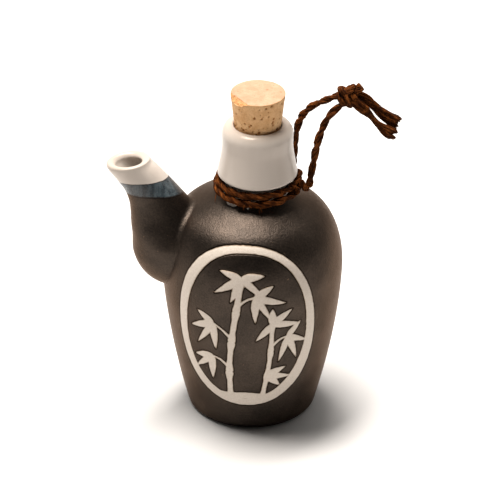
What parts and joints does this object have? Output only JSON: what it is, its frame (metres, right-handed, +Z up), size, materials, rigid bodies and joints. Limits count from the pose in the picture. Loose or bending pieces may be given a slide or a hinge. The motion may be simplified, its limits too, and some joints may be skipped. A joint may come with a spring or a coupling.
{
  "type": "soy sauce dispenser",
  "caption": "Stoneware soy sauce bottle with a side spout, a flared white neck collar, a tapered cork stopper and a knotted twine loop round the neck.",
  "frame": {"origin": "centre of the flat foot that the bottle stands on", "axes": "+Z up along the body's axis, -X towards the spout, -Y towards the front with the painted oval"},
  "size_m": [0.1261, 0.078, 0.1565],
  "materials": {
    "glaze_dark": "satin black-brown stoneware glaze, with a glossy white glaze on the collar and the spout tip",
    "cork": "natural cork with dark pits",
    "twine": "dark brown two-ply palm fibre"
  },
  "bodies": {
    "root": {"bottle": "glaze_dark", "cork_stopper": "cork", "twine_neck_wrap": "twine", "twine_strand_front": "twine", "twine_strand_back": "twine", "twine_knot": "twine", "twine_tail_upper": "twine", "twine_tail_lower": "twine"}
  },
  "joints": []
}
